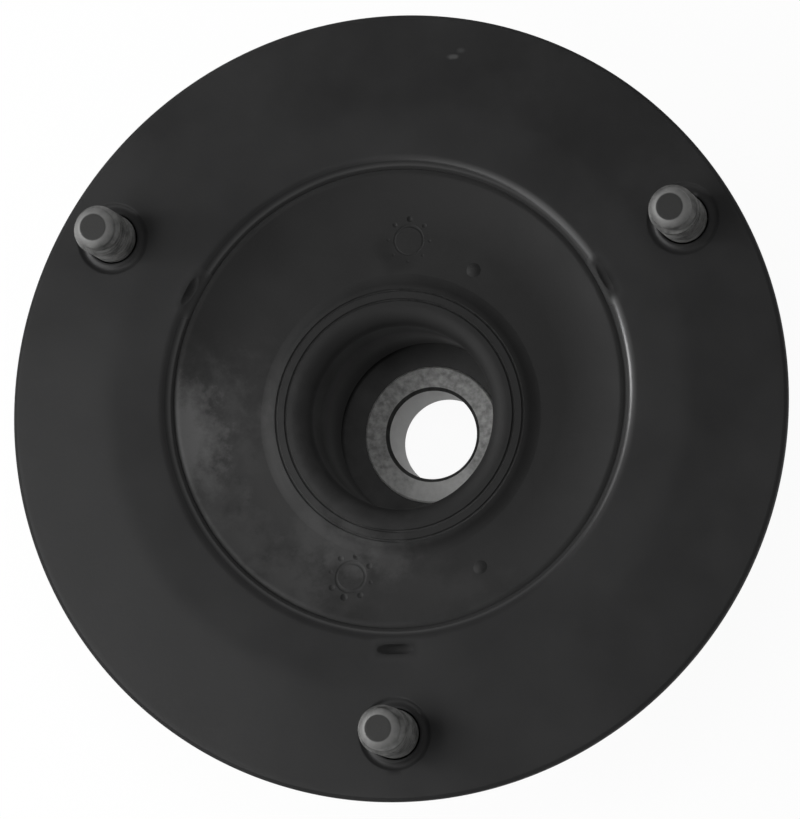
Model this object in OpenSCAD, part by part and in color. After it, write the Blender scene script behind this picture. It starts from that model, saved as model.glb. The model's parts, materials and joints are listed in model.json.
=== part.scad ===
// Suspension strut top mount: a pressed steel flange with three studs, a bonded rubber
// cushion and a sealed ball bearing that lets the strut rod turn with the steering.
// Millimetres. The flange top is z = 0, the studs point to +Z.
// The bearing axis sits off the stud circle's centre, towards the stud on -Y.

/* [Flange] */
// Outer diameter of the flange
flange_d = 130; // [120:1:150]
// Distance of the rim's centre from the stud circle's centre
flange_offset = 1.5; // [0:0.1:2]
// Sheet thickness of the pressed top plate
plate_t = 2.5; // [2:0.1:3]
// Radius along the top and bottom edges of the rim
rim_round = 0.7; // [0.3:0.1:1]
// Radius at which the flat stud band ends and the shallow dish begins
dish_r = 48.5; // [47:0.5:48.5]
// Slope of the shallow dish between the stud band and the drawn edge, in degrees
dish_angle = 3; // [1:0.5:5]
// Bend radius where the dish begins
dish_bend = 60; // [30:5:80]
// Inner radius of the skirt drawn down from the opening
skirt_r = 37.8; // [37:0.1:38.5]
// Radius of the rounded lip along the opening
lip_round = 2.7; // [2.4:0.1:2.8]
// Bend radius on the underside of the drawn edge
draw_round = 1; // [0.5:0.1:1.5]
// Depth of the skirt below the flange top
skirt_depth = 25; // [24:0.5:30]

/* [Studs] */
// Number of studs
stud_count = 3; // [3:1:4]
// Diameter of the circle the studs stand on
stud_circle_d = 111; // [110:0.5:112]
// Thread diameter of a stud
stud_d = 8; // [6:0.5:8]
// Length of a stud above the flange
stud_h = 12.5; // [10:0.5:30]
// Diameter of the pilot at a stud's tip
pilot_d = 6.7; // [5.5:0.1:7.5]
// Length of the pilot, its end chamfer included
pilot_h = 1.9; // [1.6:0.1:2.5]
// Diameter of the flat at the very tip
tip_d = 4.6; // [4:0.1:5.2]
// Step from the thread out to the pressed neck in the flange
neck_step = 0.25; // [0.1:0.05:0.4]
// Diameter of the round head under the flange
stud_head_d = 13; // [11:0.5:14]
// Thickness of the round head
stud_head_t = 2.2; // [1.5:0.1:3]
// Distance of the coined ring from the thread
coin_gap = 1.3; // [1.1:0.1:1.6]
// Radius of the rounded tool edge that presses the coined ring
coin_edge = 1.2; // [0.8:0.1:1.5]
// Depth of the coined ring
coin_depth = 0.2; // [0.1:0.05:0.3]

/* [Dimples] */
// Distance of a dimple from the opening
dimple_gap = 2.3; // [2.2:0.1:3]
// Radius of the wheel mark that forms a dimple
dimple_wheel_r = 6; // [5:0.5:8]
// Half width of a dimple
dimple_half_w = 0.8; // [0.6:0.1:1]
// Depth of a dimple
dimple_depth = 0.75; // [0.4:0.05:0.9]

/* [Rubber] */
// Distance of the bearing axis from the stud circle's centre
hub_offset = 2.8; // [0:0.1:3]
// Height of the shoulder top, below the flange
shoulder_z = -2; // [-2.4:0.1:-1.8]
// Rounding of the shoulder
shoulder_round = 1.2; // [0.8:0.1:1.4]
// Height of the rubber floor beside the collar
floor_z = -4; // [-4.4:0.1:-3.8]
// Radius of the hollow in which the floor rises to the shoulder
floor_round = 25; // [22:1:30]
// Angle at which the rounded shoulder runs against the lip, in degrees
shoulder_end = 58; // [40:2:60]
// How far the arched underside is let into the housing wall
arch_bite = 0.6; // [0.3:0.1:0.9]
// Height at which the arch meets the skirt
arch_z = -23.5; // [-24:0.5:-22]

/* [Collar] */
// Height of the collar top
collar_z = -3; // [-3.3:0.1:-2.6]
// Outer radius of the collar top
collar_r = 20.6; // [20.2:0.1:21]
// Rounding of the collar's outer edge
collar_round = 2.5; // [1.5:0.1:3]
// Rounding at the foot of the collar
foot_round = 4; // [3:0.1:5]
// Radius of the well that takes the rod nut
well_r = 15.2; // [14:0.1:15.6]
// Rounding where the collar rolls into the well
roll_r = 3.2; // [2:0.1:3.4]
// Radii of the two fine grooves on the collar top
line_r = [19.2, 20.8];
// Depth of the fine grooves
line_depth = 0.25; // [0.15:0.05:0.5]

/* [Mould marks] */
// Radius of the round marks that mould inserts leave on the rubber
mark_r = 2.4; // [1.8:0.1:2.5]
// Radius of the rounded tool edge that leaves a round mark
mark_edge = 0.5; // [0.3:0.1:0.8]
// Depth of the round marks
mark_depth = 0.05; // [0.04:0.01:0.1]
// Number of small dots round a mark
dot_count = 8; // [6:1:12]
// Distance of the dots from a mark's centre
dot_ring_r = 3.5; // [3.3:0.1:3.8]
// Radius of the ball shape of a dot
dot_r = 0.8; // [0.6:0.1:1]
// Angle and distance of each round mark from the stud circle's centre
mark_places = [[86.8, 26.4], [254.2, 30.4]];
// Radius of the ball shape of a small moulded pip
pip_r = 2.2; // [1.6:0.1:2.6]
// Height of a pip above the rubber
pip_h = 0.35; // [0.2:0.05:0.5]
// Angle and distance of each pip from the stud circle's centre
pip_places = [[59.5, 24.4], [295.6, 31.2]];

/* [Bearing] */
// Bore diameter of the bearing
bore_d = 15; // [12:0.5:16]
// Outer diameter of the bearing
bearing_d = 42; // [42:0.5:43]
// Width of the bearing
bearing_w = 13; // [13:0.5:14]
// Height of the bearing's top face
bearing_top = -29; // [-30:0.5:-28]
// Ball diameter as a share of the ring space between bore and outside
ball_share = 0.588; // [0.57:0.002:0.592]
// Height of the inner ring's shoulder below the pitch circle, as a share of the ball
inner_shoulder_share = 0.334; // [0.32:0.002:0.35]
// Height of the outer ring's shoulder above the pitch circle, as a share of the ball
outer_shoulder_share = 0.346; // [0.33:0.002:0.36]
// Number of balls
ball_count = 7; // [5:1:7]
// Chamfer at the ends of the bore
bore_chamfer = 0.55; // [0.3:0.05:0.8]
// Chamfer at the outer corners of the rings
ring_chamfer = 0.6; // [0.3:0.1:0.8]
// Raceway radius as a share of the ball diameter
raceway_share = 0.52; // [0.515:0.005:0.53]

/* [Cage] */
// Sheet thickness of a cage half
cage_t = 0.6; // [0.5:0.1:0.8]
// Radial width of the cage ribbon as a share of the ball
cage_share = 0.378; // [0.34:0.002:0.4]
// Shank diameter of a cage rivet
rivet_d = 1.2; // [0.8:0.1:1.4]
// Head diameter of a cage rivet
rivet_head_d = 2.2; // [1.8:0.1:2.4]
// Head height of a cage rivet
rivet_head_h = 0.5; // [0.3:0.1:0.8]

/* [Seals] */
// Thickness of a seal at its outer bead
seal_t = 1; // [0.8:0.1:1.1]
// Thickness of a seal's web
seal_web_t = 0.6; // [0.4:0.1:0.7]
// Depth of a seal's outer face below the bearing face
seal_inset = 0.45; // [0.3:0.05:0.6]
// Depth of the seal seat in the outer ring
seal_seat = 1.25; // [1:0.05:1.3]

/* [Housing] */
// Wall thickness of the bearing housing
housing_wall = 3.2; // [3:0.1:3.6]
// Thickness of the shoulder over the bearing
housing_shoulder_t = 2.5; // [2:0.1:3]
// Width of the shoulder over the bearing
housing_lip_w = 4.6; // [4.2:0.1:5.2]
// Height of the housing's lower edge
housing_bottom = -46; // [-50:0.5:-46]
// Thickness of the retaining ring
clip_t = 1.75; // [1.5:0.05:1.75]
// Radial width of the retaining ring
clip_w = 3.2; // [2.5:0.1:3.4]
// Depth of the retaining ring's groove
clip_groove = 1.25; // [0.8:0.05:1.4]
// Half angle of the gap in the retaining ring, in degrees
clip_gap = 9; // [6:1:14]
// Radius of a lug on the retaining ring
lug_r = 2.2; // [1.8:0.1:2.4]
// Radius of the plier hole in a lug
lug_hole_r = 1; // [0.6:0.1:1.2]

/* [Fits] */
// Radial clearance of a stud in its flange hole
stud_fit = 0.03; // [0:0.01:0.1]
// Radial clearance of a ball in a raceway
ball_fit = 0.03; // [0.02:0.01:0.05]
// Clearance of a ball in its cage pocket
pocket_fit = 0.1; // [0.05:0.01:0.15]
// Radial clearance of a seal lip on the inner ring
lip_fit = 0.08; // [0.05:0.01:0.1]
// Clearance of a seal bead in its seat
seat_fit = 0.05; // [0:0.01:0.1]
// Radial clearance of a rivet in the cage
rivet_fit = 0.02; // [0:0.01:0.05]
// Clearance of the retaining ring in its groove
clip_fit = 0.05; // [0:0.01:0.1]

/* [Hidden] */
$fn = 96;
fine_steps = 20;
arc_steps = 10;
lip_overrun = 30;
over = 1;
flange_r = flange_d / 2;
stud_r = stud_d / 2;
stud_ring_r = stud_circle_d / 2;
stud_turn = 270;
lip_x = skirt_r + lip_round;
lip_z = dish_h(lip_x - lip_round * sin(dish_angle)) - lip_round * cos(dish_angle);
bend_x = skirt_r + plate_t + draw_round;
bend_z = dish_h(bend_x - draw_round * sin(dish_angle)) - plate_t - draw_round * cos(dish_angle);
dish_bend_x = dish_r + dish_bend * tan(dish_angle / 2);
band_in_r = dish_bend_x + flange_offset + over / 2;
band_out_r = band_in_r + flange_offset + over / 2;
neck_r = stud_r + neck_step;
coin_r = stud_r + coin_gap;
dimple_place_r = skirt_r + dimple_gap;
crest_z = shoulder_z - shoulder_round;
edge_z = crest_z + shoulder_round * sin(shoulder_end);
edge_x = lip_x - sqrt(pow(lip_round, 2) - pow(max(0, edge_z - lip_z), 2));
crest_x = edge_x - shoulder_round * cos(shoulder_end);
hollow_z = floor_z + floor_round;
floor_r = crest_x - sqrt(pow(floor_round + shoulder_round, 2) - pow(hollow_z - crest_z, 2));
rise_angle = atan2(crest_x - floor_r, hollow_z - crest_z);
foot_sink = 0.03;
flank_round = collar_round + foot_round;
flank_angle = acos(1 - (collar_z - floor_z + foot_sink) / flank_round);
foot_x = collar_r + flank_round * sin(flank_angle);
foot_z = collar_z - collar_round + flank_round * cos(flank_angle);
bearing_r = bearing_d / 2;
bearing_half = bearing_w / 2;
bearing_z = bearing_top - bearing_half;
ball_d = ball_share * (bearing_d - bore_d) / 2;
ball_r = ball_d / 2;
pitch_r = (bore_d + bearing_d) / 4;
raceway_r = raceway_share * ball_d;
inner_race_x = pitch_r - ball_r - ball_fit + raceway_r;
outer_race_x = pitch_r + ball_r + ball_fit - raceway_r;
inner_shoulder_r = pitch_r - inner_shoulder_share * ball_d;
outer_shoulder_r = pitch_r + outer_shoulder_share * ball_d;
pocket_r = ball_r + pocket_fit;
cage_w = cage_share * ball_d;
housing_r = bearing_r + housing_wall;
arch_r = skirt_r - housing_r + arch_bite;
housing_mouth_r = bearing_r - housing_lip_w;
housing_top = bearing_top + housing_shoulder_t;
clip_top = bearing_top - bearing_w;
clip_r = bearing_r + clip_groove;
seal_r = outer_shoulder_r + seal_seat;
seat_end = bearing_half - seal_inset;

// Height of the shallow dish at a radius
function dish_h(r) = -(dish_r - r) * tan(dish_angle);

// Points of an arc about a centre, from one angle to another, in a number of steps
function arc(x, z, r, a, b, steps) =
    [for (i = [0:steps]) let (t = a + (b - a) * i / steps) [x + r * cos(t), z + r * sin(t)]];

// Turns its children to each stud place in turn
module at_studs() {
    for (i = [0:stud_count - 1])
        rotate([0, 0, stud_turn + i * 360 / stud_count]) children();
}

// Moves its children to the bearing axis
module at_hub() {
    translate([0, -hub_offset, 0]) children();
}

// Moves its children to the middle of the bearing
module at_bearing() {
    translate([0, -hub_offset, bearing_z]) children();
}

// Turns its children to each ball place, or midway between balls
module at_balls(share = 0) {
    for (i = [0:ball_count - 1])
        rotate([0, 0, 90 + (i + share) * 360 / ball_count]) translate([pitch_r, 0, 0]) children();
}

// Section of the pressed plate inside the stud band, drawn as radius and height
module plate_section() {
    wall_x = skirt_r + plate_t;
    difference() {
        union() {
            polygon(concat(
                [[band_out_r, 0]],
                arc(dish_bend_x, -dish_bend, dish_bend, 90, 90 + dish_angle, arc_steps),
                [[skirt_r, dish_h(skirt_r)]],
                [[skirt_r, -skirt_depth]],
                [[wall_x, -skirt_depth]],
                [[wall_x, dish_h(wall_x) - plate_t]],
                [[dish_r, -plate_t]],
                [[band_out_r, -plate_t]]
            ));
            bend_fillet(wall_x, plate_t / 2);
        }
        lip_cut();
    }
}

// Section of the stud band and its rounded rim, turned about the rim's own centre
module rim_section() {
    edge_x = flange_r - rim_round;
    polygon([
        [band_in_r, 0],
        [edge_x, 0],
        [flange_r, -rim_round],
        [flange_r, rim_round - plate_t],
        [edge_x, -plate_t],
        [band_in_r, -plate_t]
    ]);
    translate([edge_x, -rim_round]) circle(r = rim_round);
    translate([edge_x, rim_round - plate_t]) circle(r = rim_round);
}

// Fillet under the flange where the skirt is drawn down
module bend_fillet(wall_x, mid) {
    touch_x = bend_x - draw_round * sin(dish_angle);
    touch_z = dish_h(touch_x) - plate_t;
    difference() {
        polygon([
            [bend_x, bend_z],
            [touch_x, touch_z],
            [touch_x, touch_z + mid],
            [wall_x - mid, touch_z + mid],
            [wall_x - mid, bend_z],
            [wall_x, bend_z]
        ]);
        translate([bend_x, bend_z]) circle(r = draw_round);
    }
}

// What the rounded lip takes off the corner of the opening
module lip_cut() {
    far = lip_round * 2;
    difference() {
        polygon([
            [lip_x, lip_z],
            [lip_x - far * sin(dish_angle), lip_z + far * cos(dish_angle)],
            [lip_x - far, lip_z + far],
            [lip_x - far, lip_z]
        ]);
        translate([lip_x, lip_z]) circle(r = lip_round);
    }
}

// Wheel shaped cutter for one dimple beside the lip
module dimple_cutter() {
    translate([dimple_place_r, 0, dish_h(dimple_place_r) + dimple_wheel_r - dimple_depth])
        rotate([0, 90, 0])
            rotate_extrude()
                translate([dimple_wheel_r - dimple_half_w, 0]) circle(r = dimple_half_w);
}

module top_plate() {
    color([0.13, 0.13, 0.14])
    difference() {
        union() {
            rotate_extrude() plate_section();
            translate([0, -flange_offset, 0]) rotate_extrude() rim_section();
        }
        at_studs() {
            translate([stud_ring_r, 0, -plate_t - over])
                cylinder(r = neck_r + stud_fit, h = plate_t + 2 * over);
            translate([stud_ring_r, 0, 0])
                rotate_extrude() translate([coin_r, coin_edge - coin_depth]) circle(r = coin_edge);
        }
        translate([0, -flange_offset, 0]) at_studs() dimple_cutter();
    }
}

// One stud with its head, pressed neck, thread length and pilot, drawn as radius and height
module stud_section() {
    thread_end = stud_h - pilot_h;
    cone = (stud_d - pilot_d) / 2;
    polygon([
        [0, -plate_t - stud_head_t],
        [stud_head_d / 2, -plate_t - stud_head_t],
        [stud_head_d / 2, -plate_t],
        [neck_r, -plate_t],
        [neck_r, 0],
        [stud_r, 0],
        [stud_r, thread_end - cone],
        [pilot_d / 2, thread_end],
        [pilot_d / 2, stud_h - (pilot_d - tip_d) / 2],
        [tip_d / 2, stud_h],
        [0, stud_h]
    ]);
}

module mounting_studs() {
    color([0.45, 0.45, 0.44])
    at_studs() translate([stud_ring_r, 0, 0]) rotate_extrude() stud_section();
}

// Rubber turned about the stud circle's centre: floor, hollow and shoulder against the lip
module rubber_outer_section() {
    difference() {
        polygon(concat(
            [[0, floor_z]],
            arc(floor_r, hollow_z, floor_round, 270, 270 + rise_angle, fine_steps),
            arc(crest_x, crest_z, shoulder_round, 90 + rise_angle, shoulder_end - lip_overrun, arc_steps),
            [[lip_x - lip_round / 2, lip_z]],
            [[skirt_r, lip_z]],
            [[skirt_r, arch_z - arch_r]],
            [[0, arch_z - arch_r]]
        ));
        translate([lip_x, lip_z]) circle(r = lip_round);
    }
}

// Rubber turned about the bearing axis: the collar round the well
module collar_section() {
    difference() {
        polygon(concat(
            [[well_r, housing_top]],
            arc(well_r + roll_r, collar_z - roll_r, roll_r, 180, 90, fine_steps),
            arc(collar_r, collar_z - collar_round, collar_round, 90, 90 - flank_angle, arc_steps),
            arc(foot_x, foot_z, foot_round, 270 - flank_angle, 270, arc_steps),
            [[foot_x, housing_top]]
        ));
        for (r = line_r) translate([r, collar_z]) circle(r = line_depth);
    }
}

// Moves its children to a place on the hollow rubber floor, square to it
module on_floor(place) {
    lift_r = max(0, place[1] - floor_r);
    rotate([0, 0, place[0]])
        translate([place[1], 0, hollow_z - sqrt(pow(floor_round, 2) - pow(lift_r, 2))])
            rotate([0, -asin(lift_r / floor_round), 0]) children();
}

// What a mould insert leaves: a shallow ring with dots round it
module mark_cutter() {
    rotate_extrude() translate([mark_r, mark_edge - mark_depth]) circle(r = mark_edge);
    for (i = [1:dot_count])
        rotate([0, 0, i * 360 / dot_count])
            translate([dot_ring_r, 0, dot_r - mark_depth]) sphere(r = dot_r);
}

module rubber_cushion() {
    color([0.1, 0.1, 0.1])
    union() {
        difference() {
            rotate_extrude() rubber_outer_section();
            at_hub() {
                translate([0, 0, housing_top - over])
                    cylinder(r = collar_r, h = floor_z - housing_top + 2 * over);
                translate([0, 0, housing_bottom])
                    cylinder(r = housing_r, h = housing_top - housing_bottom);
                rotate_extrude() translate([skirt_r, arch_z - arch_r]) circle(r = arch_r);
            }
            for (place = mark_places) on_floor(place) mark_cutter();
        }
        for (place = pip_places)
            on_floor(place) translate([0, 0, pip_h - pip_r]) sphere(r = pip_r);
        at_hub() rotate_extrude() collar_section();
    }
}

module bearing_housing() {
    color([0.2, 0.2, 0.21])
    at_hub() difference() {
        translate([0, 0, housing_bottom])
            cylinder(r = housing_r, h = housing_top - housing_bottom);
        translate([0, 0, bearing_top - over])
            cylinder(r = housing_mouth_r, h = housing_shoulder_t + 2 * over);
        translate([0, 0, housing_bottom - over])
            cylinder(r = bearing_r, h = bearing_top - housing_bottom + over);
        translate([0, 0, clip_top - clip_t - clip_fit])
            cylinder(r = clip_r, h = clip_t + clip_fit);
    }
}

module retaining_ring() {
    outer = clip_r - clip_fit;
    inner = outer - clip_w;
    color([0.3, 0.3, 0.3])
    at_hub() translate([0, 0, clip_top - clip_t]) linear_extrude(clip_t) difference() {
        union() {
            difference() {
                circle(r = outer);
                circle(r = inner);
            }
            intersection() {
                circle(r = outer);
                for (side = [-1, 1])
                    rotate([0, 0, 270 + side * (clip_gap + lug_r * 2)])
                        translate([inner, 0]) circle(r = lug_r);
            }
        }
        polygon([
            [0, 0],
            [-bearing_d * sin(clip_gap), -bearing_d * cos(clip_gap)],
            [bearing_d * sin(clip_gap), -bearing_d * cos(clip_gap)]
        ]);
        for (side = [-1, 1])
            rotate([0, 0, 270 + side * (clip_gap + lug_r * 2)])
                translate([inner, 0]) circle(r = lug_hole_r);
    }
}

// Section of the outer ring with its raceway and both seal seats
module outer_ring_section() {
    difference() {
        polygon([
            [outer_shoulder_r, -bearing_half],
            [bearing_r - ring_chamfer, -bearing_half],
            [bearing_r, ring_chamfer - bearing_half],
            [bearing_r, bearing_half - ring_chamfer],
            [bearing_r - ring_chamfer, bearing_half],
            [outer_shoulder_r, bearing_half]
        ]);
        translate([outer_race_x, 0]) circle(r = raceway_r);
        for (side = [0, 1]) mirror([0, side])
            translate([outer_shoulder_r - over, seat_end - seal_t - seat_fit])
                square([seal_seat + seat_fit + over, seal_t + seal_inset + seat_fit + over]);
    }
}

module bearing_outer_ring() {
    color([0.6, 0.6, 0.6])
    at_bearing() rotate_extrude() outer_ring_section();
}

// Section of the inner ring with its raceway and bore chamfers
module inner_ring_section() {
    difference() {
        polygon([
            [bore_d / 2, bore_chamfer - bearing_half],
            [bore_d / 2 + bore_chamfer, -bearing_half],
            [inner_shoulder_r - ring_chamfer / 2, -bearing_half],
            [inner_shoulder_r, ring_chamfer / 2 - bearing_half],
            [inner_shoulder_r, bearing_half - ring_chamfer / 2],
            [inner_shoulder_r - ring_chamfer / 2, bearing_half],
            [bore_d / 2 + bore_chamfer, bearing_half],
            [bore_d / 2, bearing_half - bore_chamfer]
        ]);
        translate([inner_race_x, 0]) circle(r = raceway_r);
    }
}

module bearing_inner_ring() {
    color([0.62, 0.62, 0.61])
    at_bearing() rotate_extrude() inner_ring_section();
}

// Section of one seal: bead in the seat, thin web and running lip
module seal_section() {
    lip_r = inner_shoulder_r + lip_fit;
    polygon([
        [lip_r, seat_end],
        [lip_r, seat_end - seal_t],
        [lip_r + seal_web_t, seat_end - seal_t],
        [lip_r + seal_t, seat_end - seal_web_t],
        [outer_shoulder_r - seal_t, seat_end - seal_web_t],
        [outer_shoulder_r + seat_fit, seat_end - seal_t],
        [seal_r, seat_end - seal_t],
        [seal_r, seat_end]
    ]);
}

module upper_seal() {
    color([0.08, 0.08, 0.08])
    at_bearing() rotate_extrude() seal_section();
}

module lower_seal() {
    color([0.08, 0.08, 0.08])
    at_bearing() mirror([0, 0, 1]) rotate_extrude() seal_section();
}

// Pressed ribbon with a spherical pocket for each ball
module cage_half() {
    difference() {
        intersection() {
            difference() {
                cylinder(r = pitch_r + cage_w / 2, h = ball_d);
                translate([0, 0, -over]) cylinder(r = pitch_r - cage_w / 2, h = ball_d + 2 * over);
            }
            union() {
                cylinder(r = bearing_r, h = cage_t);
                at_balls() sphere(r = pocket_r + cage_t);
            }
        }
        at_balls() sphere(r = pocket_r);
        at_balls(0.5) translate([0, 0, -over]) cylinder(r = rivet_d / 2 + rivet_fit, h = cage_t + 2 * over);
    }
}

module cage_upper_half() {
    color([0.66, 0.63, 0.55])
    at_bearing() cage_half();
}

module cage_lower_half() {
    color([0.66, 0.63, 0.55])
    at_bearing() mirror([0, 0, 1]) cage_half();
}

module cage_rivets() {
    color([0.55, 0.53, 0.48])
    at_bearing() at_balls(0.5) {
        translate([0, 0, -cage_t]) cylinder(r = rivet_d / 2, h = 2 * cage_t);
        translate([0, 0, cage_t])
            cylinder(d1 = rivet_head_d, d2 = rivet_d, h = rivet_head_h);
        translate([0, 0, -cage_t - rivet_head_h])
            cylinder(d1 = rivet_d, d2 = rivet_head_d, h = rivet_head_h);
    }
}

module bearing_ball(i) {
    color([0.75, 0.75, 0.76])
    at_bearing() rotate([0, 0, 90 + (i - 1) * 360 / ball_count])
        translate([pitch_r, 0, 0]) sphere(r = ball_r);
}

top_plate();
mounting_studs();
rubber_cushion();
bearing_housing();
retaining_ring();
bearing_outer_ring();
bearing_inner_ring();
upper_seal();
lower_seal();
cage_upper_half();
cage_lower_half();
cage_rivets();
for (i = [1:ball_count])
    bearing_ball(i);
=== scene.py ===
# %% [markdown]
# # A strut mount, dressed for its portrait
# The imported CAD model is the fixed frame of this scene. This first cell loads it and keeps
# its box, because nothing that is added later may stand outside that box.

import json
import math

import bpy
import numpy as np
from mathutils import Matrix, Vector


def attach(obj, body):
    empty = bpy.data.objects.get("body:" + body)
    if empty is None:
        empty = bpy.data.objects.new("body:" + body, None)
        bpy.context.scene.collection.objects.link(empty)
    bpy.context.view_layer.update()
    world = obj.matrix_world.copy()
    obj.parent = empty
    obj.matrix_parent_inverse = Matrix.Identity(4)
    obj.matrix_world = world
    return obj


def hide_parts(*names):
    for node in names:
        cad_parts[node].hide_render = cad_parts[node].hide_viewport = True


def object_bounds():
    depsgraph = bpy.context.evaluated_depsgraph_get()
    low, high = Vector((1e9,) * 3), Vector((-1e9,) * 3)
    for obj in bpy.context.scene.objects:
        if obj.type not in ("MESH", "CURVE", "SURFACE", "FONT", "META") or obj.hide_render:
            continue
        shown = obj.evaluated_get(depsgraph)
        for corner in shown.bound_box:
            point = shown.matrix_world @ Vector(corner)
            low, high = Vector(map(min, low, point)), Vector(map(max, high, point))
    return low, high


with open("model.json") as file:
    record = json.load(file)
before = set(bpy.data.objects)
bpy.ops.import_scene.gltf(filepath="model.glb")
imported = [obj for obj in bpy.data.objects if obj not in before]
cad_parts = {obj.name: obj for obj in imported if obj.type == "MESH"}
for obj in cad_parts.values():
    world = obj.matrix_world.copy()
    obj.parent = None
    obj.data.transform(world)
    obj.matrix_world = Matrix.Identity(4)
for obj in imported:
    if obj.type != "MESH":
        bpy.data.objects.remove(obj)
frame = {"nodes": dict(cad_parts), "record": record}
cad_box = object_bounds()
nodes = frame["nodes"]
print("CAD nodes:", len(nodes))

# %% [markdown]
# ## Camera
# The photo looks almost straight down on the studs, from a little to the right and below. A camera
# could be turned by hand until the picture fits. Here the tilt, distance and focal length come from
# fitting the rim, the stud tips and the rings of the well, so the camera is placed by two angles and
# a distance, and aimed with the part's Y axis up.

# %% Camera
IMAGE_W, IMAGE_H = 800, 819
FOCAL_PX = 6272.6
SENSOR_MM = 36.0
TILT_X, TILT_Y = 0.2185, -0.1294
CAMERA_DISTANCE = 1.0275
CLIP_END = 20.0
AIM = np.array([0.00087, -0.00226, 0.0])


def place_object(name, data):
    """A new object that holds the given data, linked to the scene."""
    obj = bpy.data.objects.new(name, data)
    bpy.context.scene.collection.objects.link(obj)
    return obj


def unit(vector):
    """The vector divided by its length."""
    return vector / np.linalg.norm(vector)


def pose_matrix(x, y, z, place):
    """A pose whose first three columns are the axes and whose last column is the place."""
    pose = np.eye(4)
    pose[:3] = np.column_stack([x, y, z, place])
    return Matrix(pose.tolist())


to_camera = np.array([math.sin(TILT_X), math.sin(TILT_Y), 0.0])
to_camera[2] = math.sqrt(1.0 - to_camera @ to_camera)
right = unit(np.cross([0.0, 1.0, 0.0], to_camera))
camera_place = AIM + CAMERA_DISTANCE * to_camera

camera_data = bpy.data.cameras.new("photo_camera")
camera_data.sensor_width = SENSOR_MM
camera_data.lens = FOCAL_PX / max(IMAGE_W, IMAGE_H) * SENSOR_MM
camera_data.clip_end = CLIP_END
camera = place_object("photo_camera", camera_data)
camera.matrix_world = pose_matrix(right, np.cross(to_camera, right), to_camera, camera_place)
bpy.context.scene.camera = camera
print("camera lens", round(camera_data.lens, 1), "mm at", camera_place.round(3))

# %% [markdown]
# ## Floor
# The photo has a bare white background. A bright lamp on the floor would also wash out the part, so
# the floor is a plain plate under the housing that is mostly its own white to the camera and to
# mirror images, with some of the true shading mixed in, so that the shadow stays.

# %% Floor
FLOOR_Z = cad_box[0][2]
FLOOR_HALF = 3.0
FLOOR_GREY = (0.8, 0.8, 0.8, 1)
OWN_WHITE = 0.95


def add(tree, kind, inputs=(), **fields):
    """A new shader node: fields are set on the node itself, and inputs pairs each socket with a value
    to hold or an output to link."""
    node = tree.nodes.new("ShaderNode" + kind)
    for field, value in fields.items():
        setattr(node, field, value)
    for key, value in dict(inputs).items():
        if isinstance(value, bpy.types.NodeSocket):
            tree.links.new(value, node.inputs[key])
        else:
            node.inputs[key].default_value = value
    return node


def calc(tree, operation, *terms):
    """Output of a Math node whose terms are numbers or outputs."""
    return add(tree, "Math", enumerate(terms), operation=operation).outputs[0]


def new_material(name):
    """An empty node material and its node tree."""
    material = bpy.data.materials.new(name)
    material.use_nodes = True
    material.node_tree.nodes.clear()
    return material, material.node_tree


def seen_rays(tree):
    """Largest of the camera, glossy and transmission ray flags: 1 where the background is looked at."""
    flags = add(tree, "LightPath").outputs
    first = calc(tree, "MAXIMUM", flags["Is Camera Ray"], flags["Is Glossy Ray"])
    return calc(tree, "MAXIMUM", first, flags["Is Transmission Ray"])


corner_signs = ((-1, -1), (1, -1), (1, 1), (-1, 1))
floor_corners = [(x * FLOOR_HALF, y * FLOOR_HALF, FLOOR_Z) for x, y in corner_signs]
floor_mesh = bpy.data.meshes.new("floor")
floor_mesh.from_pydata(floor_corners, [], [(0, 1, 2, 3)])
floor = place_object("floor", floor_mesh)

floor_paint, tree = new_material("floor_paint")
own_share = calc(tree, "MULTIPLY", seen_rays(tree), OWN_WHITE)
shaded = add(tree, "BsdfDiffuse", {"Color": FLOOR_GREY})
white = add(tree, "Emission", {"Strength": 1.0})
floor_mix = add(tree, "MixShader", {0: own_share, 1: shaded.outputs[0], 2: white.outputs[0]})
add(tree, "OutputMaterial", {"Surface": floor_mix.outputs[0]})
floor_mesh.materials.append(floor_paint)
print("floor at", round(FLOOR_Z, 4), "m")

# %% [markdown]
# ## Backdrop and light
# The part was lit by one broad soft light from the lower left. An even white world would mirror in
# the black coat and turn it grey, so the backdrop is pale at the horizon and dim at the ceiling. One
# soft lamp stands near at the left, two small ones beside it draw the bright crescent on the drawn
# lip and the fine line below it, and a weak one overhead reaches down into the well. The overhead one
# has no mirror image, as a diffused ceiling has none.

# %% World
HORIZON_UP, CEILING_UP = 0.15, 0.6
HORIZON_LIGHT, CEILING_LIGHT = 0.95, 0.22

world = bpy.data.worlds.new("studio")
bpy.context.scene.world = world
world.use_nodes = True
tree = world.node_tree
tree.nodes.clear()
direction = add(tree, "TexCoord").outputs["Generated"]
upward = add(tree, "SeparateXYZ", {0: direction}).outputs["Z"]
dimming = add(tree, "MapRange", {"Value": upward, "From Min": HORIZON_UP, "From Max": CEILING_UP,
                                 "To Min": HORIZON_LIGHT, "To Max": CEILING_LIGHT})
sky = add(tree, "Background", {"Strength": dimming.outputs["Result"]})
add(tree, "OutputWorld", {"Surface": sky.outputs[0]})
print("backdrop from", HORIZON_LIGHT, "at the horizon to", CEILING_LIGHT, "overhead")

# %% Lamps
LAMP_UP = (0.0, 1.0, 0.1)


def soft_lamp(name, place, size, watts):
    """A square area lamp at a place, turned to face the origin and hidden from the camera."""
    data = bpy.data.lights.new(name, "AREA")
    data.shape = "SQUARE"
    data.size = size
    data.energy = watts
    lamp = place_object(name, data)
    back = unit(np.array(place))
    side = unit(np.cross(LAMP_UP, back))
    lamp.matrix_world = pose_matrix(side, np.cross(back, side), back, place)
    lamp.visible_camera = False
    return lamp


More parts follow.
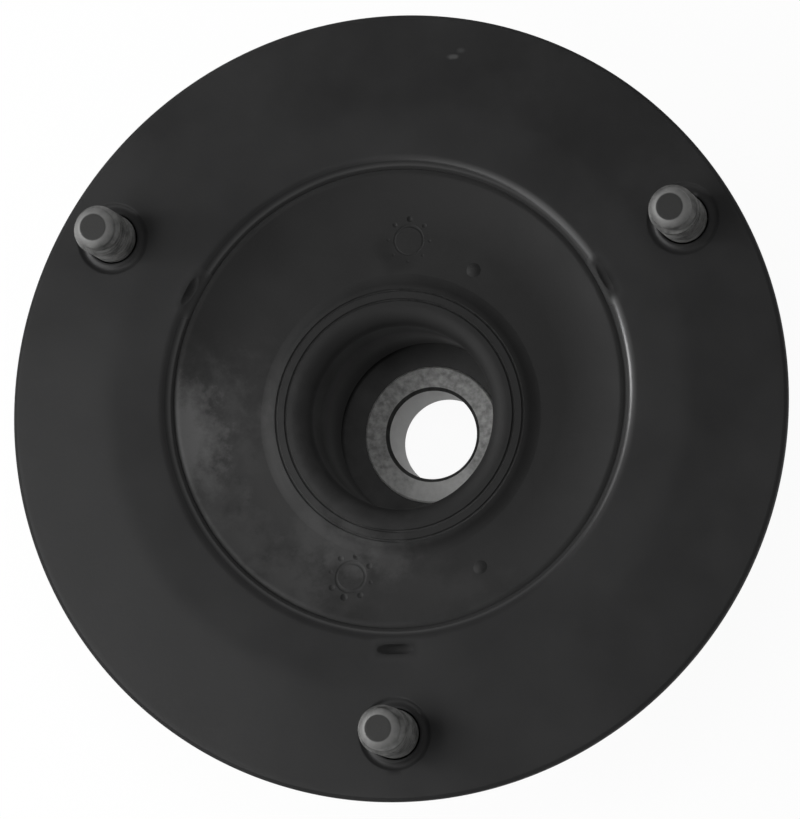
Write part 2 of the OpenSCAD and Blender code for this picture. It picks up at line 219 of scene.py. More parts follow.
lamps = [
    soft_lamp("left_softbox", (-0.30, -0.11, 0.34), 0.36, 1.36),
    soft_lamp("left_strip", (-0.45, 0.035, 0.21), 0.12, 0.9),
    soft_lamp("left_strip_end", (-0.41, 0.17, 0.21), 0.14, 0.2),
    soft_lamp("overhead_fill", (0.13, 0.10, 1.0), 0.3, 2.8),
]
lamps[-1].visible_glossy = False
bpy.context.scene.view_settings.view_transform = "Standard"
print("lamps:", ", ".join(lamp.name for lamp in lamps))

# %% [markdown]
# ## Shared effects
# Real coatings and rubber are never one flat colour. Painted images could show that, but they would
# have to be fitted to each piece. Three shader node groups serve every finish here instead. The mottle
# drifts between two tones and two degrees of gloss and adds a fine grain. The patch marks one place with
# an uneven edge, used for wear, dust and grime and also for painted light and painted shade. The band
# marks a turned zone between two radii and two heights. All read Object coordinates, so they stay on
# the part from every side.

# %% Mottle group
DRIFT_DETAIL, DRIFT_ROUGHNESS = 5.0, 0.6
DRIFT_LOW, DRIFT_HIGH = 0.35, 0.65
GRAIN_DETAIL = 3.0


def new_group(name, inputs, outputs):
    """An empty shader node group with named sockets: inputs are (name, kind, default) and outputs are
    (name, kind). Gives the group, the sockets that it is given and the sockets that it fills."""
    group = bpy.data.node_groups.new(name, "ShaderNodeTree")
    for label, kind, default in inputs:
        made = group.interface.new_socket(name=label, in_out="INPUT", socket_type="NodeSocket" + kind)
        made.default_value = default
    for label, kind in outputs:
        group.interface.new_socket(name=label, in_out="OUTPUT", socket_type="NodeSocket" + kind)
    return group, group.nodes.new("NodeGroupInput").outputs, group.nodes.new("NodeGroupOutput").inputs


def mix_colours(tree, share, first, second):
    """Colour that goes from the first to the second as the share goes from 0 to 1."""
    return add(tree, "Mix", {"Factor": share, 6: first, 7: second}, data_type="RGBA").outputs[2]


def mix_values(tree, share, first, second):
    """Value that goes from the first to the second as the share goes from 0 to 1."""
    return add(tree, "Mix", {"Factor": share, 2: first, 3: second}, data_type="FLOAT").outputs[0]


def make_mottle():
    """Tone and gloss drift with a broad noise; the grain is a fine noise for the bump."""
    group, given, filled = new_group(
        "mottle",
        [("Tone A", "Color", (0.02, 0.02, 0.02, 1)), ("Tone B", "Color", (0.03, 0.03, 0.03, 1)),
         ("Gloss A", "Float", 0.4), ("Gloss B", "Float", 0.5),
         ("Drift Scale", "Float", 60.0), ("Grain Scale", "Float", 900.0)],
        [("Colour", "Color"), ("Roughness", "Float"), ("Grain", "Float")],
    )
    where = add(group, "TexCoord").outputs["Object"]
    drift = add(group, "TexNoise", {"Vector": where, "Scale": given["Drift Scale"],
                                    "Detail": DRIFT_DETAIL, "Roughness": DRIFT_ROUGHNESS})
    grain = add(group, "TexNoise", {"Vector": where, "Scale": given["Grain Scale"], "Detail": GRAIN_DETAIL})
    share = add(group, "MapRange", {"Value": drift.outputs["Fac"], "From Min": DRIFT_LOW,
                                    "From Max": DRIFT_HIGH}).outputs["Result"]
    tone = mix_colours(group, share, given["Tone A"], given["Tone B"])
    gloss = mix_values(group, share, given["Gloss A"], given["Gloss B"])
    group.links.new(tone, filled["Colour"])
    group.links.new(gloss, filled["Roughness"])
    group.links.new(grain.outputs["Fac"], filled["Grain"])
    return group


mottle_group = make_mottle()
print("group:", mottle_group.name, "with", len(mottle_group.nodes), "nodes")

# %% Patch group
BREAK_DETAIL, BREAK_ROUGHNESS, BREAK_PUSH = 6.0, 0.65, 1.6
PATCH_OUT, PATCH_IN = 1.9, 1.2


def vector_calc(tree, operation, *terms):
    """Vector Math node whose terms are vectors or outputs."""
    return add(tree, "VectorMath", enumerate(terms), operation=operation)


def make_patch():
    """A mask that is 1 near a centre and fades at a reach: the stretched distance divided by the reach,
    pushed about by noise, so that the edge is broken."""
    group, given, filled = new_group(
        "patch",
        [("Centre", "Vector", (0.0, 0.0, 0.0)), ("Stretch", "Vector", (1.0, 1.0, 1.0)),
         ("Reach", "Float", 0.01), ("Break Scale", "Float", 300.0)],
        [("Mask", "Float")],
    )
    where = add(group, "TexCoord").outputs["Object"]
    away = vector_calc(group, "SUBTRACT", where, given["Centre"]).outputs[0]
    pulled = vector_calc(group, "MULTIPLY", away, given["Stretch"]).outputs[0]
    distance = vector_calc(group, "LENGTH", pulled).outputs["Value"]
    noise = add(group, "TexNoise", {"Vector": where, "Scale": given["Break Scale"],
                                    "Detail": BREAK_DETAIL, "Roughness": BREAK_ROUGHNESS})
    ratio = calc(group, "DIVIDE", distance, given["Reach"])
    pushed = calc(group, "MULTIPLY_ADD", noise.outputs["Fac"], BREAK_PUSH, ratio)
    fade = add(group, "MapRange", {"Value": pushed, "From Min": PATCH_OUT, "From Max": PATCH_IN})
    group.links.new(fade.outputs["Result"], filled["Mask"])
    return group


patch_group = make_patch()
print("group:", patch_group.name, "with", len(patch_group.nodes), "nodes")

# %% Band group
LEVEL = (1.0, 1.0, 0.0)


def make_band():
    """A mask that is 1 where the distance from an upright axis and the height both lie inside their
    limits, and falls to 0 over a soft width at each limit."""
    limits = ("Radius Min", "Radius Max", "Height Min", "Height Max", "Soft")
    group, given, filled = new_group(
        "band",
        [("Axis", "Vector", (0.0, 0.0, 0.0))] + [(name, "Float", 0.0) for name in limits],
        [("Mask", "Float")],
    )
    where = add(group, "TexCoord").outputs["Object"]
    away = vector_calc(group, "SUBTRACT", where, given["Axis"]).outputs[0]
    flat = vector_calc(group, "MULTIPLY", away, LEVEL).outputs[0]
    radius = vector_calc(group, "LENGTH", flat).outputs["Value"]
    height = add(group, "SeparateXYZ", {0: where}).outputs["Z"]
    pairs = ((given["Radius Max"], radius), (radius, given["Radius Min"]),
             (height, given["Height Min"]), (given["Height Max"], height))
    mask = None
    for larger, smaller in pairs:
        gap = calc(group, "SUBTRACT", larger, smaller)
        inside = add(group, "MapRange", {"Value": gap, "From Max": given["Soft"]}).outputs["Result"]
        mask = inside if mask is None else calc(group, "MULTIPLY", mask, inside)
    group.links.new(mask, filled["Mask"])
    return group


band_group = make_band()
print("group:", band_group.name, "with", len(band_group.nodes), "nodes")

# %% [markdown]
# ## Finish recipe
# Coat, rubber and bare steel differ in numbers more than in kind, so one recipe makes them all: a
# Principled shader whose colour and roughness come from the mottle, with its grain as a slight bump.
# Patches and bands of dust, grime, painted shade or painted light are laid over the colour. A mesh may
# carry a painted highlight value, where a highlight is painted bright into the colour, and a dull value,
# where a polished zone stays matt. The plain inner pieces of the bearing need no more than the mottle,
# so they come first.

# %% Finish recipe and inner pieces
GRAIN_HEIGHT = 0.0002
HIGHLIGHT_COVER = 0.85
DULL_ROUGHNESS = 0.85
FAR = 1.0


def lay(tree, colour, mask, tint, strength):
    """Mixes a tint over a colour where a mask is set; strength 1 covers it fully."""
    return mix_colours(tree, calc(tree, "MULTIPLY", mask, strength), colour, (*tint, 1))


def band_mask(tree, axis, radius, low, high, soft, inner=-FAR):
    """Places the band group in a material and gives its mask."""
    limits = {"Axis": axis, "Radius Min": inner, "Radius Max": radius,
              "Height Min": low, "Height Max": high, "Soft": soft}
    return add(tree, "Group", limits, node_tree=band_group).outputs["Mask"]


def mesh_value(tree, name):
    """Value that the mesh carries at its points under a name, 0 where it carries none."""
    return add(tree, "Attribute", attribute_name=name).outputs["Fac"]


def finish(name, tones, gloss, drift, grain, bump, metallic=0.0, specular=0.5, patches=(), bands=(),
           painted_highlight=None, polish=None):
    """A Principled material fed by the mottle, which drifts between two tones and two roughnesses.
    patches are (tint, centre, stretch, reach, strength), bands are (tint, strength, axis, radius, low,
    high, soft, and inner radius if any), painted_highlight is the tint of a highlight painted where the
    mesh's painted_highlight value is 1, and polish is (roughness, coat, axis, radius, low, high, soft) for
    a zone that is rubbed smooth."""
    material, tree = new_material(name)
    mottle = add(tree, "Group", {"Tone A": (*tones[0], 1), "Tone B": (*tones[1], 1), "Gloss A": gloss[0],
                                 "Gloss B": gloss[1], "Drift Scale": drift, "Grain Scale": grain},
                 node_tree=mottle_group).outputs
    colour, rough = mottle["Colour"], mottle["Roughness"]
    relief = add(tree, "Bump", {"Strength": bump, "Distance": GRAIN_HEIGHT, "Height": mottle["Grain"]})
    shader = add(tree, "BsdfPrincipled", {"Metallic": metallic, "Specular IOR Level": specular,
                                          "Normal": relief.outputs["Normal"]})
    for tint, centre, stretch, reach, strength in patches:
        patch = add(tree, "Group", {"Centre": centre, "Stretch": stretch, "Reach": reach},
                    node_tree=patch_group)
        colour = lay(tree, colour, patch.outputs["Mask"], tint, strength)
    for tint, strength, *zone in bands:
        colour = lay(tree, colour, band_mask(tree, *zone), tint, strength)
    # painted highlight: a brighter tint wherever the mesh's painted_highlight value is set
    if painted_highlight is not None:
        colour = lay(tree, colour, mesh_value(tree, "painted_highlight"), painted_highlight, HIGHLIGHT_COVER)
    if polish is not None:
        smooth, coat, *zone = polish
        rubbed, dull_share = band_mask(tree, *zone), mesh_value(tree, "dull")
        rough = mix_values(tree, dull_share, mix_values(tree, rubbed, rough, smooth), DULL_ROUGHNESS)
        coated = mix_values(tree, dull_share, calc(tree, "MULTIPLY", rubbed, coat), 0.0)
        shader.inputs["Coat Roughness"].default_value = smooth
        tree.links.new(coated, shader.inputs["Coat Weight"])
    tree.links.new(colour, shader.inputs["Base Color"])
    tree.links.new(rough, shader.inputs["Roughness"])
    add(tree, "OutputMaterial", {"Surface": shader.outputs[0]})
    return material


finishes = {
    "housing_coat": finish("housing_black_coat", ((0.013, 0.013, 0.0135), (0.019, 0.019, 0.019)),
                           (0.4, 0.5), 70.0, 1400.0, 0.1, specular=0.35),
    "clip_steel": finish("dark_spring_steel", ((0.05, 0.05, 0.05), (0.09, 0.09, 0.088)),
                         (0.35, 0.5), 250.0, 2500.0, 0.15, metallic=0.8),
    "seal_rubber": finish("seal_black_rubber", ((0.04, 0.04, 0.04), (0.06, 0.06, 0.06)),
                          (0.55, 0.7), 150.0, 2000.0, 0.12, specular=0.3),
    "cage_steel": finish("pressed_cage_steel", ((0.38, 0.36, 0.32), (0.5, 0.48, 0.43)),
                         (0.3, 0.42), 300.0, 2500.0, 0.1, metallic=1.0),
    "ball_steel": finish("polished_ball_steel", ((0.6, 0.6, 0.61), (0.66, 0.66, 0.67)),
                         (0.1, 0.16), 400.0, 3000.0, 0.02, metallic=1.0),
}
print("plain finishes:", len(finishes))

# %% [markdown]
# ## Coat and rubber
# The flange carries a thin satin black coating, rubbed smooth on the drawn lip. It is darker at the upper
# right and at the top, has a few pale scuffs, and its three dimples are darkened, a painted shade. The
# cushion is matt rubber, dusty on the left where the light rakes it, with painted light there as well: a
# painted highlight along its lower left edge and on the lit lower side of the collar. Its right side is
# painted darker, a painted shade. Each mark is one patch at its own place, which is quicker to adjust
# than a painted map. Two bands lighten the groove where the lip meets the rubber, and a paler one the
# wall of the well: both stand for stray light that the lamps do not bring there.

# %% Plate coat
STUD_AXIS = (0.0, 0.0, 0.0)
ROUND = (1, 1, 1)
SCUFF = DUST_AND_LIGHT = (0.06, 0.06, 0.06)
# near black: darkens real moulded marks, and also paints shade into hollows and onto the far side
GRIME_AND_SHADE = (0.004, 0.004, 0.004)
LIP_LOW, LIP_HIGH = -0.02, 0.001
PLATE_MARKS = [
    # two broad patches: the plate is darker at the upper right and at the top
    (GRIME_AND_SHADE, (0.0343, 0.0442, 0.0), (1, 0.8, 1), 0.016, 0.24),
    (GRIME_AND_SHADE, (-0.0010, 0.0517, 0.0), (0.5, 1.2, 1), 0.012, 0.1),
    (SCUFF, (0.0099, 0.0561, 0.0), (0.6, 1.3, 1), 0.0006, 0.7),
    (SCUFF, (0.0112, 0.0571, 0.0), (0.7, 1.0, 1), 0.0006, 0.35),
    (SCUFF, (0.0501, 0.0316, 0.0), ROUND, 0.0006, 0.8),
    # painted shade: the three dimples are darkened where their steep sides fall into shade
    (GRIME_AND_SHADE, (0.0, -0.0416, -0.0012), (0.4, 1, 1), 0.0017, 0.5),
    (GRIME_AND_SHADE, (0.0347, 0.01855, -0.0012), ROUND, 0.0022, 0.5),
    (GRIME_AND_SHADE, (-0.0347, 0.01855, -0.0012), ROUND, 0.0022, 0.5),
]
LIP_GROOVE = ((0.026, 0.026, 0.026), 0.9, STUD_AXIS, 0.0391, LIP_LOW, LIP_HIGH, 0.0005)
LIP_POLISH = (0.2, 0.3, STUD_AXIS, 0.0398, LIP_LOW, LIP_HIGH, 0.0009)

finishes["plate_coat"] = finish(
    "satin_black_coat", ((0.0125, 0.0125, 0.0127), (0.0165, 0.0165, 0.0167)),
    (0.34, 0.42), 45.0, 1400.0, 0.05, specular=0.26,
    patches=PLATE_MARKS, bands=[LIP_GROOVE], polish=LIP_POLISH,
)
print("marks on the plate:", len(PLATE_MARKS))

# %% Rubber
HUB_AXIS = (0.0, -0.0028, 0.0)
BRIGHT_DUST_AND_LIGHT = (0.08, 0.08, 0.08)
EDGE_DUST_AND_SHEEN_RADIUS, EDGE_DUST_AND_SHEEN_ANGLES = 0.0365, (3.58, 3.85, 4.15)
RUBBER_MARKS = [
    (DUST_AND_LIGHT, (-0.0240, -0.0180, -0.003), ROUND, 0.024, 0.2),
    (DUST_AND_LIGHT, (0.0, -0.0330, -0.003), (0.6, 1.4, 1), 0.011, 0.15),
    (DUST_AND_LIGHT, (-0.0360, 0.0010, -0.003), (1, 0.8, 1), 0.010, 0.14),
    # painted shade: the right side of the cushion is painted darker
    (GRIME_AND_SHADE, (0.0280, 0.0100, -0.004), (1, 0.7, 1), 0.020, 0.25),
    (GRIME_AND_SHADE, (-0.0029, 0.0252, -0.004), (1, 1, 0.5), 0.0022, 0.4),
    (GRIME_AND_SHADE, (-0.0004, 0.0228, -0.004), (0.6, 1.2, 0.5), 0.0022, 0.4),
    # painted light: the lit lower left flank and foot of the collar
    (DUST_AND_LIGHT, (-0.0143, -0.0221, -0.004), (1, 1, 0.5), 0.0045, 0.3),
    (DUST_AND_LIGHT, (-0.0084, -0.0251, -0.004), (1, 1, 0.5), 0.0045, 0.4),
    (DUST_AND_LIGHT, (-0.0020, -0.0262, -0.004), (1, 1, 0.5), 0.0040, 0.3),
    # dust and painted light: the bright place at the left edge of the cushion
    (DUST_AND_LIGHT, (-0.0350, -0.0060, -0.003), (1, 0.8, 1), 0.011, 0.18),
    (BRIGHT_DUST_AND_LIGHT, (-0.0376, -0.0066, -0.003), (1.1, 0.8, 1), 0.0088, 0.95),
] + [
    # dust and a painted highlight along the lower left edge of the shoulder
    (DUST_AND_LIGHT, (EDGE_DUST_AND_SHEEN_RADIUS * math.cos(a), EDGE_DUST_AND_SHEEN_RADIUS * math.sin(a), -0.003), ROUND, 0.007, 0.35)
    for a in EDGE_DUST_AND_SHEEN_ANGLES
]
WELL_WALL = ((0.4, 0.4, 0.4), 0.85, HUB_AXIS, 0.0172, -0.036, -0.0115, 0.007)
EDGE_GROOVE = ((0.021, 0.021, 0.021), 0.9, STUD_AXIS, FAR, LIP_LOW, LIP_HIGH, 0.0004, 0.0374)

finishes["rubber"] = finish(
    "dusty_and_lit_black_rubber", ((0.0108, 0.0108, 0.0108), (0.0146, 0.0146, 0.0146)),
    (0.6, 0.7), 90.0, 1800.0, 0.1, specular=0.22,
    patches=RUBBER_MARKS, bands=[WELL_WALL, EDGE_GROOVE],
)
print("marks on the rubber:", len(RUBBER_MARKS))

# %% [markdown]
# ## Bare steel
# The studs are grey phosphated steel with a dark flat tip and a highlight painted on the chamfer. The
# bearing's rings are mottled grey. The ring that shows in the well is brightest on its lower side, where
# a pale patch stands for light that the lamps do not bring, and the edge of its bore is painted dark, a
# painted shade.

# %% Stud and ring steel
STUD_TOP = 0.0125
RING_TOP = -0.029
STUD_TIP = ((0.027, 0.027, 0.0265), 1.0, HUB_AXIS, FAR, STUD_TOP - 0.00004, FAR, 0.00002)
RING_GLOW = ((0.72, 0.72, 0.71), (0.0, -0.0128, RING_TOP), (0.8, 1, 1), 0.008, 0.6)
BORE_WALL = ((0.36, 0.36, 0.355), 0.8, HUB_AXIS, 0.0077, -0.05, RING_TOP - 0.0007, 0.0001)
# painted shade: the chamfer at the top of the bore is painted near black
BORE_EDGE_SHADE = (GRIME_AND_SHADE, 0.85, HUB_AXIS, 0.0081, RING_TOP - 0.00062, 0.0, 0.00006)

finishes["stud_steel"] = finish(
    "grey_phosphate_steel", ((0.045, 0.045, 0.044), (0.15, 0.15, 0.147)),
    (0.5, 0.62), 350.0, 2600.0, 0.15, metallic=0.2, specular=0.3,
    # painted highlight: the chamfer ring at each tip is painted brighter
    bands=[STUD_TIP], painted_highlight=(0.19, 0.19, 0.187),
)
finishes["bearing_steel"] = finish(
    "mottled_ring_steel", ((0.205, 0.205, 0.202), (0.41, 0.41, 0.404)),
    (0.5, 0.62), 900.0, 3000.0, 0.15, metallic=0.3, specular=0.3,
    patches=[RING_GLOW], bands=[BORE_WALL, BORE_EDGE_SHADE],
)
print("finishes:", len(finishes))

# %% Finishes on the CAD nodes
slot_of = {part["node"]: part["material_slot"] for part in frame["record"]["subparts"]}
for name, node in nodes.items():
    node.data.materials.clear()
    node.data.materials.append(finishes[slot_of[name]])
print("dressed nodes:", len(slot_of))

# %% [markdown]
# ## Threaded studs
# The CAD studs are plain cylinders, and the real ones carry a rolled M8 thread. A screw modifier could
# wind it, but it leaves loose ends to close. Here each stud is one closed surface: its height runs along
# one parameter and the turn along the other, and the radius dips by a trapezoid wave that climbs one
# pitch a turn. Where the thread runs out, the wave fades to nothing. The chamfer at the tip catches a
# bright highlight, which is painted into its colour, so its points carry a painted_highlight value for
# the material.

# %% Stud surface
PITCH, THREAD_DEPTH, THREAD_START = 0.00125, 0.00072, 0.0006
GROOVE_HALF, FLANK, RUN_OUT = 0.42, 0.30, 0.6
STUD_RADIUS, NECK_RADIUS = 0.004, 0.00425
PILOT_RADIUS, PILOT_HEIGHT, TIP_RADIUS = 0.00335, 0.0019, 0.0023
HEAD_RADIUS, HEAD_TOP, HEAD_BOTTOM = 0.0065, -0.0025, -0.0047
EDGE, AXIS_GAP = 0.00018, 1e-5
SHANK_ROWS, TURN_STEPS = 190, 56
CHAMFER_END = STUD_TOP - (PILOT_RADIUS - TIP_RADIUS)


def stud_profile():
    """Radius and height down a stud, from the tip's centre to the head's centre; short steps soften
    the edges."""
    neck = STUD_TOP - PILOT_HEIGHT
    shank = np.linspace(neck - (STUD_RADIUS - PILOT_RADIUS), 0.0, SHANK_ROWS)
    tip = [
        (AXIS_GAP, STUD_TOP), (TIP_RADIUS - 2 * EDGE, STUD_TOP), (TIP_RADIUS - EDGE, STUD_TOP),
        (TIP_RADIUS + EDGE / 2, STUD_TOP - EDGE / 2), (PILOT_RADIUS - EDGE / 2, CHAMFER_END + EDGE / 2),
        (PILOT_RADIUS, CHAMFER_END - EDGE), (PILOT_RADIUS, neck + EDGE / 2),
        (PILOT_RADIUS + EDGE / 2, neck - EDGE / 2),
    ]
    head = [
        (NECK_RADIUS, 0.0), (NECK_RADIUS, HEAD_TOP), (HEAD_RADIUS - EDGE, HEAD_TOP),
        (HEAD_RADIUS, HEAD_TOP - EDGE), (HEAD_RADIUS, HEAD_BOTTOM + 2 * EDGE),
        (HEAD_RADIUS - 2 * EDGE, HEAD_BOTTOM), (AXIS_GAP, HEAD_BOTTOM),
    ]
    return np.vstack([tip, np.column_stack([np.full(SHANK_ROWS, STUD_RADIUS), shank]), head])


def thread_dip(height, turn):
    """Depth of the thread below the crest: a trapezoid wave of the height plus the turn's share of a
    pitch, which fades out over part of a pitch where the thread starts."""
    phase = (height / PITCH + turn / (2 * np.pi)) % 1.0
    wave = np.clip((GROOVE_HALF - np.abs(phase - 0.5)) / FLANK, 0.0, 1.0)
    fade = np.clip((height - THREAD_START) / (RUN_OUT * PITCH), 0.0, 1.0)
    return THREAD_DEPTH * wave * fade


def carried_round(profile, turns):
    """Grids of radius, height and turn: each profile point at each turn."""
    radius, turn = np.meshgrid(profile[:, 0], turns, indexing="ij")
    return radius, np.repeat(profile[:, 1:], len(turns), axis=1), turn


def ring_faces(rows, columns):
    """Quads between neighbouring rows of a grid that closes on itself along the columns."""
    i, j = np.meshgrid(np.arange(rows - 1), np.arange(columns), indexing="ij")
    k = (j + 1) % columns
    quads = [i * columns + j, (i + 1) * columns + j, (i + 1) * columns + k, i * columns + k]
    return np.stack(quads, axis=-1).reshape(-1, 4)


radius, height, turn = carried_round(stud_profile(), np.linspace(0, 2 * np.pi, TURN_STEPS, endpoint=False))
on_shank = np.isclose(radius, STUD_RADIUS, rtol=0.0, atol=1e-6)
radius = np.where(on_shank, radius - thread_dip(height, turn), radius)
stud_points = np.stack([radius * np.cos(turn), radius * np.sin(turn), height], axis=-1).reshape(-1, 3)
stud_quads = ring_faces(*radius.shape)
print("one stud:", len(stud_points), "points,", len(stud_quads), "quads")

# %% Stud piece
STUD_CIRCLE = 0.0555
STUD_ANGLES = np.radians([270.0, 30.0, 150.0])
HIGHLIGHT_RADIUS, HIGHLIGHT_WIDTH = 0.00255, 0.0006
STUD_SHARP = 28


def make_piece(name, points, faces, value_name, values, sharp):
    """A smooth mesh object at the origin whose points carry one named value; edges that turn by more
    than the sharp angle, in degrees, stay sharp."""
    mesh = bpy.data.meshes.new(name)
    mesh.from_pydata(points.tolist(), [], faces)
    carried = mesh.attributes.new(value_name, "FLOAT", "POINT")
    carried.data.foreach_set("value", values.astype(np.float32).ravel())
    mesh.validate()
    mesh.shade_smooth()
    mesh.set_sharp_from_angle(angle=math.radians(sharp))
    return place_object(name, mesh)


first_ring = np.arange(TURN_STEPS)
caps = np.stack([first_ring, len(stud_points) - 1 - first_ring])
stud_places = STUD_CIRCLE * np.stack([np.cos(STUD_ANGLES), np.sin(STUD_ANGLES), 0 * STUD_ANGLES], axis=-1)
stud_faces = []
for offset in np.arange(len(stud_places)) * len(stud_points):
    stud_faces += (stud_quads + offset).tolist() + (caps + offset).tolist()
all_studs = (stud_places[:, None] + stud_points).reshape(-1, 3)

from_axis = radius.ravel()
# painted highlight on the chamfer ring, fading away from its middle radius
on_chamfer = (from_axis > TIP_RADIUS - 0.5 * EDGE) & (height.ravel() > CHAMFER_END - 1.5 * EDGE)
painted_highlight = on_chamfer * np.exp(-(((from_axis - HIGHLIGHT_RADIUS) / HIGHLIGHT_WIDTH) ** 2))
all_painted_highlight = np.tile(painted_highlight, len(stud_places))
studs = make_piece("threaded_studs", all_studs, stud_faces, "painted_highlight", all_painted_highlight, STUD_SHARP)
studs.data.materials.append(finishes["stud_steel"])
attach(studs, "mount")
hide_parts("mounting_studs")
print("stud faces:", len(stud_faces))

# %% [markdown]
# ## Pressed plate
# The top plate is one stamping, turned about two centres: the skirt and stud band about the stud circle,
# the rim about a point a little below it. The CAD mesh of its rounded lip and rim is a little coarse for
# the long highlights there, and subdividing it would soften its true edges. So the same form is computed
# again as a fine grid: a closed profile carried round the axis, whose centre slides over to the rim's own
# centre in the flat band. Each coined ring and dimple is a height that the tool's round edge reaches, and
# the sheet lies at the lower of the two.

# %% Plate profile
FLANGE_RADIUS, RIM_SHIFT, SHEET, RIM_ROUND = 0.065, -0.0015, 0.0025, 0.0007
DISH_RADIUS, DISH_SLOPE, DISH_BEND = 0.0485, math.radians(3.0), 0.060
SKIRT_RADIUS, LIP_ROUND, SKIRT_DEPTH, DRAW_ROUND = 0.0378, 0.0027, 0.025, 0.001
DIMPLE_RADIUS = 0.0401
BAND_END, FINE_END = 0.0615, DIMPLE_RADIUS + 0.0026
UNDER_RADII = np.array([0.062, 0.056, DISH_RADIUS, 0.045])
ROW_STEP = 0.00015
SKIRT_ROWS, LIP_ROWS, SLOPE_ROWS, BEND_ROWS = 4, 30, 8, 12
EDGE_ROWS, RIM_ROWS, DRAW_ROWS, WALL_ROWS = 6, 10, 8, 3


def dish_height(r):
    """Height of the shallow cone inside the stud band at a radius."""
    return (r - DISH_RADIUS) * math.tan(DISH_SLOPE)


def arc_points(x, z, radius, start, end, count):
    """Points on a circle about (x, z) between two angles in degrees."""
    t = np.radians(np.linspace(start, end, count))
    return np.column_stack([x + radius * np.cos(t), z + radius * np.sin(t)])


def line_points(x, z):
    """Points from an array of radii and one height or an array of heights."""
    return np.column_stack([x, np.broadcast_to(z, np.shape(x))])


def plate_profile():
    """Radius and height round the sheet: up the skirt, over the lip to the rim and back underneath.
    Gives the points and how many of them are on top."""
    sine, cosine, tilt = math.sin(DISH_SLOPE), math.cos(DISH_SLOPE), math.degrees(DISH_SLOPE)
    lip_x, wall_x = SKIRT_RADIUS + LIP_ROUND, SKIRT_RADIUS + SHEET
    lip_z = dish_height(lip_x - LIP_ROUND * sine) - LIP_ROUND * cosine
    bend_x = DISH_RADIUS + DISH_BEND * math.tan(DISH_SLOPE / 2)
    edge_x, draw_x = FLANGE_RADIUS - RIM_ROUND, wall_x + DRAW_ROUND
    draw_z = dish_height(draw_x - DRAW_ROUND * sine) - SHEET - DRAW_ROUND * cosine
    skirt_z = np.linspace(-SKIRT_DEPTH, lip_z, SKIRT_ROWS + 1)[:-1]
    near = np.arange(lip_x + ROW_STEP, FINE_END, ROW_STEP)
    slope = np.append(near, np.linspace(near[-1], bend_x - DISH_BEND * sine, SLOPE_ROWS)[1:-1])
    over = np.vstack([
        line_points(np.full(SKIRT_ROWS, SKIRT_RADIUS), skirt_z),
        arc_points(lip_x, lip_z, LIP_ROUND, 180, 90 + tilt, LIP_ROWS),
        line_points(slope, dish_height(slope)),
        arc_points(bend_x, -DISH_BEND, DISH_BEND, 90 + tilt, 90, BEND_ROWS),
        line_points(np.arange(bend_x + ROW_STEP, BAND_END, ROW_STEP), 0.0),
        line_points(np.linspace(BAND_END, edge_x, EDGE_ROWS)[1:], 0.0),
    ])
    under = np.vstack([
        arc_points(edge_x, -RIM_ROUND, RIM_ROUND, 90, 0, RIM_ROWS)[1:],
        arc_points(edge_x, RIM_ROUND - SHEET, RIM_ROUND, 0, -90, RIM_ROWS),
        line_points(UNDER_RADII, np.minimum(dish_height(UNDER_RADII), 0.0) - SHEET),
        arc_points(draw_x, draw_z, DRAW_ROUND, 90 + tilt, 180, DRAW_ROWS),
        line_points(np.full(WALL_ROWS, wall_x), np.linspace(draw_z, -SKIRT_DEPTH, WALL_ROWS + 1)[1:]),
    ])
    return np.vstack([over, under]), len(over)


profile, top_rows = plate_profile()
print("profile points:", len(profile), "of which on top:", top_rows)

# %% Coined rings and dimples
COIN_RADIUS, COIN_EDGE, COIN_DEPTH = 0.0053, 0.0012, 0.0002
DIMPLE_WHEEL, DIMPLE_HALF, DIMPLE_DEPTH = 0.006, 0.0008, 0.00075
DIMPLE_REACH = math.sqrt(2 * DIMPLE_WHEEL * DIMPLE_DEPTH)
DULL_EDGE = 0.0014


def coin_height(x, y):
    """Height that the round edge of the nearest coining ring reaches over a point, far above it where
    none does."""
    low = np.full(x.shape, FAR)
    for stud_x, stud_y, _ in stud_places:
        off = np.hypot(x - stud_x, y - stud_y) - COIN_RADIUS
        inside = np.sqrt(np.maximum(COIN_EDGE**2 - off**2, 0.0))
        low = np.minimum(low, np.where(inside > 0, COIN_EDGE - COIN_DEPTH - inside, FAR))
    return low


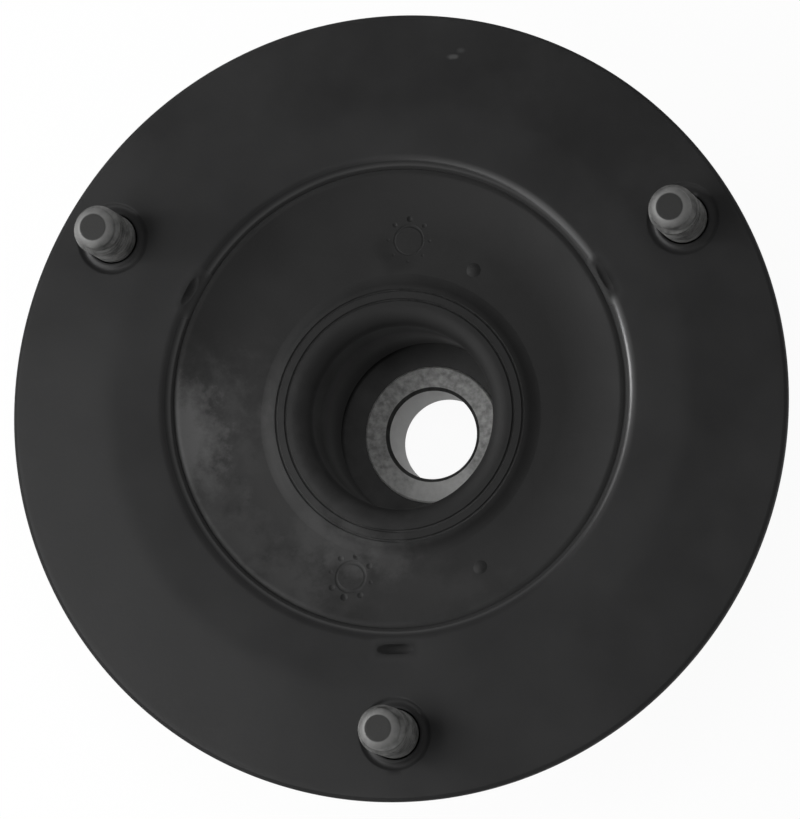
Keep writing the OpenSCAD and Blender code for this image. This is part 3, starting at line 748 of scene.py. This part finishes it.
def dimple_height(x, y):
    """Height that the rounded wheel of the nearest dimple reaches over a point, far above it where none
    does; also how near a dimple lies, from 0 to 1."""
    low, near = np.full(x.shape, FAR), np.zeros(x.shape)
    centre = dish_height(DIMPLE_RADIUS) + DIMPLE_WHEEL - DIMPLE_DEPTH
    for a in STUD_ANGLES:
        along = x * math.cos(a) + (y - RIM_SHIFT) * math.sin(a) - DIMPLE_RADIUS
        across = (y - RIM_SHIFT) * math.cos(a) - x * math.sin(a)
        wheel = DIMPLE_WHEEL - DIMPLE_HALF + np.sqrt(np.maximum(DIMPLE_HALF**2 - along**2, 0.0))
        reach = np.sqrt(np.maximum(wheel**2 - across**2, 0.0))
        hit = (np.abs(along) < DIMPLE_HALF) & (reach > 0)
        low = np.minimum(low, np.where(hit, centre - reach, FAR))
        past_width = np.maximum(np.abs(along) - DIMPLE_HALF, 0.0)
        past_length = np.maximum(np.abs(across) - DIMPLE_REACH, 0.0)
        near = np.maximum(near, np.clip(1.0 - np.hypot(past_width, past_length) / DULL_EDGE, 0.0, 1.0))
    return low, near


print("dimple length:", round(2000 * DIMPLE_REACH, 1), "mm")

# %% Plate piece
FINE_ANGLE, FINE_STEPS, WIDE_STEPS = 7.8, 93, 88
PLATE_SHARP = 40


def plate_turns():
    """Angles round the plate, close together at the studs and dimples and wider between them."""
    near = np.radians(np.linspace(-FINE_ANGLE, FINE_ANGLE, FINE_STEPS))
    wide = np.radians(np.linspace(FINE_ANGLE, 120.0 - FINE_ANGLE, WIDE_STEPS))[1:-1]
    return np.sort(np.concatenate([np.append(near, wide) + a for a in STUD_ANGLES]) % (2 * np.pi))


def enclosed_volume(points, quads):
    """Volume inside a closed skin: each quad is two triangles, and each triangle with the origin is a
    signed tetrahedron."""
    a, b, c, d = (points[quads[:, k]] for k in range(4))
    return float((a * (np.cross(b, c) + np.cross(c, d))).sum()) / 6


radius, height, turn = carried_round(profile, plate_turns())
slide = np.clip((radius - BAND_END) / (FLANGE_RADIUS - RIM_ROUND - BAND_END), 0.0, 1.0)
plate_x, plate_y = radius * np.cos(turn), radius * np.sin(turn) + RIM_SHIFT * slide
on_top = slice(0, top_rows)
dimple, near_dimple = dimple_height(plate_x[on_top], plate_y[on_top])
pressed = np.minimum(dimple, coin_height(plate_x[on_top], plate_y[on_top]))
height[on_top] = np.minimum(height[on_top], pressed)
dull = (radius > FLANGE_RADIUS - RIM_ROUND).astype(float)
dull[on_top] += near_dimple

rows, columns = radius.shape
plate_points = np.stack([plate_x, plate_y, height], axis=-1).reshape(-1, 3)
plate_faces = ring_faces(rows + 1, columns) % (rows * columns)
plate = make_piece("pressed_plate", plate_points, plate_faces.tolist(), "dull", dull, PLATE_SHARP)
plate.data.materials.append(finishes["plate_coat"])
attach(plate, "mount")
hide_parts("top_plate")
volume = enclosed_volume(plate_points, plate_faces) * 1e6
print("plate faces:", len(plate_faces), "volume cm3:", round(volume, 2))
